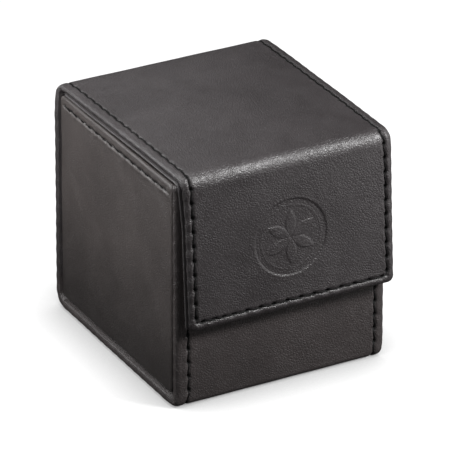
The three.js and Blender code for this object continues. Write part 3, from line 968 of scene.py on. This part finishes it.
# How far the liner stands out past the strap: LINER_OVERHANG on the right, and on the left a length that
# changes along the strap. Within the body it is narrower by LINER_NARROWING on each side.
LINER_OVERHANG = 0.15
LINER_LEFT = ((LID_RUN - 4, LID_RUN + 8), (0.15, 0.85))
LINER_NARROWING = 5.6

# Depths of its near and far faces under each part of the strap.
REAR_LINER_DEPTHS = ((3.35, 2.1), (4.1, 2.8))
FRONT_LINER_DEPTHS = ((2.1, 2.1, 1.75), (2.8, 2.8, 2.4))
FLAP_LINER_INSET = 0.25
LID_SUEDE_DEPTHS, LID_SUEDE_ENDS = (2.82, 3.05), (-34.5, 31.5)
FLAP_SUEDE_DEPTHS, FLAP_SUEDE_END = (2.42, 2.58), 4.0
SUEDE_LEFT_INSET, SUEDE_RIGHT_INSET = 3.6, 3.2


def liner_columns(left, right):
    edge = rolled(LINER_ROLL[0], 4)
    middle = spread(left + 1.5, (right - 1.5, 3.0))
    return np.concatenate([left + edge, middle, (right - edge)[::-1]])


def follow_edges(left, right):
    """Moves a plain sheet's long edges so that they keep to the strap's."""

    def shift(u, v):
        share = (right - u) / (right - left)
        on_left = -HALF_WIDTH + np.interp(v, *LEFT_MOVES) - np.interp(v, *LINER_LEFT) - left
        on_right = HALF_WIDTH + np.interp(v, *RIGHT_MOVES) + LINER_OVERHANG - right
        inside = LINER_NARROWING * (1 - smooth(LID_RUN - 8, LID_RUN - 1, v))
        return (on_left + inside) * share + (on_right - inside) * (1 - share)

    return shift


def make_liners():
    """The thin leather that lines the lid, both hinges and the flap, and shows as the lower layer of
    their edges."""
    left, right = -HALF_WIDTH - LINER_OVERHANG, HALF_WIDTH + LINER_OVERHANG
    edge = rolled(LINER_ROLL[0], 4)
    start = -Path(LINER_CORNERS).end
    rear = Strap(LINER_CORNERS, *REAR_LINER_DEPTHS, start)
    rear_rows = np.concatenate([start + edge, spread(start + 0.6, (rear.end, LINER_STEP))])
    front = Strap(LID_CORNERS, *FRONT_LINER_DEPTHS)
    front_rows = spread(0, (front.end - 0.8, LINER_STEP))
    front_rows = np.concatenate([front_rows, (front.end - edge)[::-1] - FLAP_LINER_INSET])
    for name, strap, rows, corner, cut, ends in (
        ("rear_liner", rear, rear_rows, 1.0, (False, True), ("box", "lid", LID_HINGE)),
        ("front_liner", front, front_rows, 2.0, (True, False), ("lid", "flap", LINER_HINGE)),
    ):
        piece = shell(
            name,
            strap.place,
            liner_columns(left, right),
            rows,
            strap.thickness(rows),
            roll=LINER_ROLL,
            corner=corner,
            cut=cut,
            shift=follow_edges(left, right),
            lip=LINER_LIP,
        )
        finish_piece(piece, LINER_LEATHER, "outer_leather")
        bend_at(piece, *ends)


def make_lid_suede():
    """The suede that is laid on the liners of the lid and the flap."""
    roll = (0.3, 0.15)
    low, high = LID_LOW[0] + SUEDE_LEFT_INSET, LID_HIGH[0] - SUEDE_RIGHT_INSET
    edge = rolled(roll[0], 3)
    columns = np.concatenate([low + edge, spread(low + 1, (high - 1, 3)), (high - edge)[::-1]])
    for part, (near, far), ends, first, last in (
        ("lid", LID_SUEDE_DEPTHS, ("box", "lid", LID_HINGE), *LID_SUEDE_ENDS),
        ("flap", FLAP_SUEDE_DEPTHS, ("lid", "flap", FLAP_HINGE), FLAP_RUN + 3, None),
    ):
        layer = Strap(LID_CORNERS, (near,) * 3, (far,) * 3)
        last = layer.end - FLAP_SUEDE_END if last is None else last
        middle = spread(first + 0.8, (last - 0.8, 0.8))
        rows = np.concatenate([first + edge, middle, (last - edge)[::-1]])
        piece = shell(
            f"{part}_suede",
            layer.place,
            columns,
            rows,
            layer.thickness(rows),
            roll=roll,
            corner=2.5,
            lip=0.05,
        )
        finish_piece(piece, SUEDE, "lining", f"{part}_lining")
        bend_at(piece, *ends)


# ---- flat pieces ----
def facing(origin, across, along, inward):
    """A function that turns (across, along, depth) into points, from an origin and three directions."""
    axes = np.array([across, along, inward], float)

    def place(u, v, d):
        local = np.stack(np.broadcast_arrays(u, v, d), axis=-1)
        return np.array(origin, float) + local @ axes

    return place


def flat_rows(length, roll, step):
    edge = rolled(roll, 5)
    return np.concatenate([edge, spread(roll, (length - roll, step))[1:-1], (length - edge)[::-1]])


PANEL_THICKNESS = 1.9
PANEL_ROLL = (0.9, 0.7)
PANEL_CROWN = 0.35
PANEL_UNEVENNESS = 1.3
PANEL_SEAM_DROP = 3.3
PANEL_SEAM_STRENGTH = 0.8
PANEL_SEAM_ENDS = (2.6, 2.2)


def make_panel(name, side):
    """A side panel: padded leather set in between the strap's edges, stitched along its top."""
    width = PANEL_HIGH[1] - PANEL_LOW[1]
    height = PANEL_HIGH[2] - PANEL_LOW[2]
    face = PANEL_LOW[0] if side < 0 else -PANEL_LOW[0]
    place = facing((face, PANEL_LOW[1], PANEL_HIGH[2]), (0, 1, 0), (0, 0, -1), (-side, 0, 0))
    roll = PANEL_ROLL[0]

    def crown(u, v):
        x, y = 2 * u / width - 1, 2 * v / height - 1
        return PANEL_CROWN * (1 - np.clip(x, -1, 1) ** 4) * (1 - np.clip(y, -1, 1) ** 4)

    def relief(u, v, edge):
        ends = smooth(1.5, 3.0, u) * (1 - smooth(width - 3.0, width - 1.5, u))
        seam = PANEL_SEAM_STRENGTH * seam_relief(v - PANEL_SEAM_DROP, u) * ends
        return crown(u, v) + seam + unevenness(u, v) * PANEL_UNEVENNESS

    edge = rolled(roll, 5)
    near_seam = spread(roll, (6.0, SEAM_STEP), (height - roll, 1.1))[1:]
    rows = np.concatenate([edge, near_seam, (height - edge)[::-1][1:]])
    piece = shell(
        f"{name}_panel",
        place,
        flat_rows(width, roll, ROW_STEP),
        rows,
        PANEL_THICKNESS,
        roll=PANEL_ROLL,
        corner=2.0,
        relief=relief,
    )
    nodes = (f"{name}_panel_leather", f"{name}_panel_foam")
    finish_piece(piece, PANEL_LEATHER, "outer_leather", *nodes)
    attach(piece, "box")
    seam = stitches(
        lambda u, v, d: place(u, v, d - crown(u, v)),
        lambda across, along: (along, PANEL_SEAM_DROP - across),
        PANEL_SEAM_ENDS[0],
        width - PANEL_SEAM_ENDS[1],
    )
    threads = join_threads(f"{name}_panel_threads", [seam])
    finish_piece(threads, THREAD, "seam_thread", f"{name}_panel_seam_thread")
    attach(threads, "box")


RIM_LEATHER = 0.45
RIM_TOP_Z = WALL_TOP_Z + 0.25
RIM_BEND = 0.9
RIM_DROP = 2.5
LINING_TOP_Z = 72.0
LINING_OVERLAP = 1.0
WALL_SUEDE_ROLL = (0.3, 0.2)
WALL_SUEDE_STEP = 3.0
FLOOR_FACE_Z = FLOOR_Z + 0.25
FLOOR_ROLL = (0.6, 0.5)
FLOOR_CROWN = 0.5
FLOOR_GAP = 0.2
FLOOR_THICKNESS = 0.7


def make_wall_rim(name, side):
    """Leather folded over the top of a side wall, from behind the panel down to the lining."""
    outside = -SIDE_BOARD_LOW[0] + RIM_LEATHER
    inside = -SIDE_BOARD_HIGH[0] - RIM_LEATHER
    corners = [
        (-inside, LINING_TOP_Z - LINING_OVERLAP, 0),
        (-inside, RIM_TOP_Z, RIM_BEND),
        (-outside, RIM_TOP_Z, RIM_BEND),
        (-outside, RIM_TOP_Z - RIM_DROP, 0),
    ]
    fold = Strap(corners, (0,) * 3, (RIM_LEATHER,) * 3)

    def place(u, v, d):
        points = fold.place(u, v, d)
        return np.stack([-side * points[..., 1], points[..., 0], points[..., 2]], axis=-1)

    rows = spread(0, (fold.end, 0.35))
    columns = spread(SIDE_BOARD_LOW[1], (SIDE_BOARD_HIGH[1], 2.0))
    piece = shell(
        f"{name}_wall_rim",
        place,
        columns,
        rows,
        fold.thickness(rows),
        roll=(0.2, 0.1),
        corner=0.2,
        lip=0.1,
    )
    finish_piece(piece, LINER_LEATHER, "outer_leather")
    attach(piece, "box")


def make_linings():
    """Suede inside the body: four walls and a soft floor."""
    left, right = SIDE_LINING_HIGH[0], -SIDE_LINING_HIGH[0]
    front, back = INSIDE_FRONT_Y, INSIDE_BACK_Y
    thick = SIDE_LINING_HIGH[0] - SIDE_LINING_LOW[0] - 0.05
    front_corner, back_corner = (left, front, LINING_TOP_Z), (left, back, HINGE_LINER_Z - 0.2)
    right_corner = (right, front, LINING_TOP_Z)
    for name, origin, across, inward, width in (
        ("front", front_corner, (1, 0, 0), (0, -1, 0), right - left),
        ("back", back_corner, (1, 0, 0), (0, 1, 0), right - left),
        ("left", front_corner, (0, 1, 0), (-1, 0, 0), back - front),
        ("right", right_corner, (0, 1, 0), (1, 0, 0), back - front),
    ):
        piece = shell(
            f"{name}_suede",
            facing(origin, across, (0, 0, -1), inward),
            flat_rows(width, WALL_SUEDE_ROLL[0], WALL_SUEDE_STEP),
            flat_rows(origin[2] - FLOOR_Z, WALL_SUEDE_ROLL[0], WALL_SUEDE_STEP),
            thick,
            roll=WALL_SUEDE_ROLL,
            corner=0.4,
            relief=unevenness,
            lip=0.1,
        )
        finish_piece(piece, SUEDE, "lining", f"{name}_lining")
        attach(piece, "box")
    width, depth = right - left - 2 * FLOOR_GAP, back - front - 2 * FLOOR_GAP
    corner = (left + FLOOR_GAP, front + FLOOR_GAP, FLOOR_FACE_Z)

    def crown(u, v, edge):
        x, y = np.clip(2 * u / width - 1, -1, 1), np.clip(2 * v / depth - 1, -1, 1)
        return FLOOR_CROWN * (1 - x**4) * (1 - y**4) + unevenness(u, v)

    piece = shell(
        "floor_suede",
        facing(corner, (1, 0, 0), (0, 1, 0), (0, 0, -1)),
        flat_rows(width, FLOOR_ROLL[0], 2.0),
        flat_rows(depth, FLOOR_ROLL[0], 2.0),
        FLOOR_THICKNESS,
        roll=FLOOR_ROLL,
        relief=crown,
        lip=0.1,
    )
    finish_piece(piece, SUEDE, "lining", "floor_lining")
    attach(piece, "box")


# ---- scene ----
def shown_nodes():
    """Gives the CAD nodes that are still shown their materials."""
    for part, material, name in (
        ("board", GREYBOARD, "board"),
        ("keeper_plate", STEEL, "magnet_steel"),
        ("magnet", STEEL, "magnet_steel"),
    ):
        for side in ("left", "right"):
            piece = bpy.data.objects[f"{side}_{part}"]
            piece.data.materials.clear()
            piece.data.materials.append(material)


def add_light(name, size, power, azimuth, elevation, distance, diffuse=True, glossy=True):
    """A square softbox that looks at the middle of the box."""
    data = bpy.data.lights.new(name, "AREA")
    data.shape = "SQUARE"
    data.size = size * MM
    data.energy = power
    lamp = bpy.data.objects.new(name, data)
    bpy.context.scene.collection.objects.link(lamp)
    way = direction(azimuth, elevation)
    place = Vector((0, 0, TOP_Z / 2)) + way * distance
    lamp.matrix_world = Matrix.Translation(place * MM) @ way.to_track_quat("Z", "Y").to_matrix().to_4x4()
    lamp.visible_diffuse = diffuse
    lamp.visible_glossy = glossy


def make_floor():
    """A plain pale floor just under the seams of the base, which glows, with its glow dimmed near the box
    as a painted shadow.
    """
    mesh = bpy.data.meshes.new("floor")
    half, level = 6.0, -0.27 * MM
    corners = [(x * half, y * half, level) for x, y in ((-1, -1), (1, -1), (1, 1), (-1, 1))]
    mesh.from_pydata(corners, [], [(0, 1, 2, 3)])
    floor = bpy.data.objects.new("floor", mesh)
    bpy.context.scene.collection.objects.link(floor)
    m = Nodes("floor")
    m.shader.inputs["Base Color"].default_value = (0.2, 0.2, 0.2, 1)
    m.shader.inputs["Roughness"].default_value = 0.8
    m.shader.inputs["Specular IOR Level"].default_value = 0.0
    m.shader.inputs["Emission Color"].default_value = (1, 1, 1, 1)
    # An ambient-occlusion node dims the floor's glow near the box: a painted shadow.
    near = m.add("AmbientOcclusion", samples=8, Distance=0.022)
    m.join(m.ranged(near, "AO", 0.4, 1.0, 0.3, 0.88), 0, m.shader, "Emission Strength")
    floor.data.materials.append(m.material)
    floor.visible_diffuse = False
    floor.visible_glossy = False


def make_world(brightness):
    world = bpy.data.worlds.new("world")
    world.use_nodes = True
    world.node_tree.nodes["Background"].inputs["Color"].default_value = (1, 1, 1, 1)
    world.node_tree.nodes["Background"].inputs["Strength"].default_value = brightness
    bpy.context.scene.world = world


make_front()
make_rear()
make_lid_and_flap()
make_liners()
make_lid_suede()
for panel_name, panel_side in (("left", -1), ("right", 1)):
    make_panel(panel_name, panel_side)
    make_wall_rim(panel_name, panel_side)
make_linings()
shown_nodes()
make_floor()
make_world(0.05)
# name, size, power, azimuth, elevation, distance
add_light("front_right_key", 200, 14.0, 45, 38, 900, glossy=False)
add_light("front_right_shine", 200, 14.0, 44, 46, 900, diffuse=False)
add_light("front_box", 150, 0.14, 55, 30, 260)
add_light("front_low_box", 90, 0.06, 45, 2, 190)
add_light("left_box", 130, 0.4, -104, 28, 190)
add_light("left_high_box", 110, 0.19, -80, 70, 180)
add_light("rear_box", 60, 0.02, 165, 45, 200)
add_light("left_fill", 480, 1.4, -55, 18, 900)
add_light("back_fill", 480, 1.6, 195, 8, 900)
bpy.context.scene.view_settings.view_transform = "Standard"
make_camera()
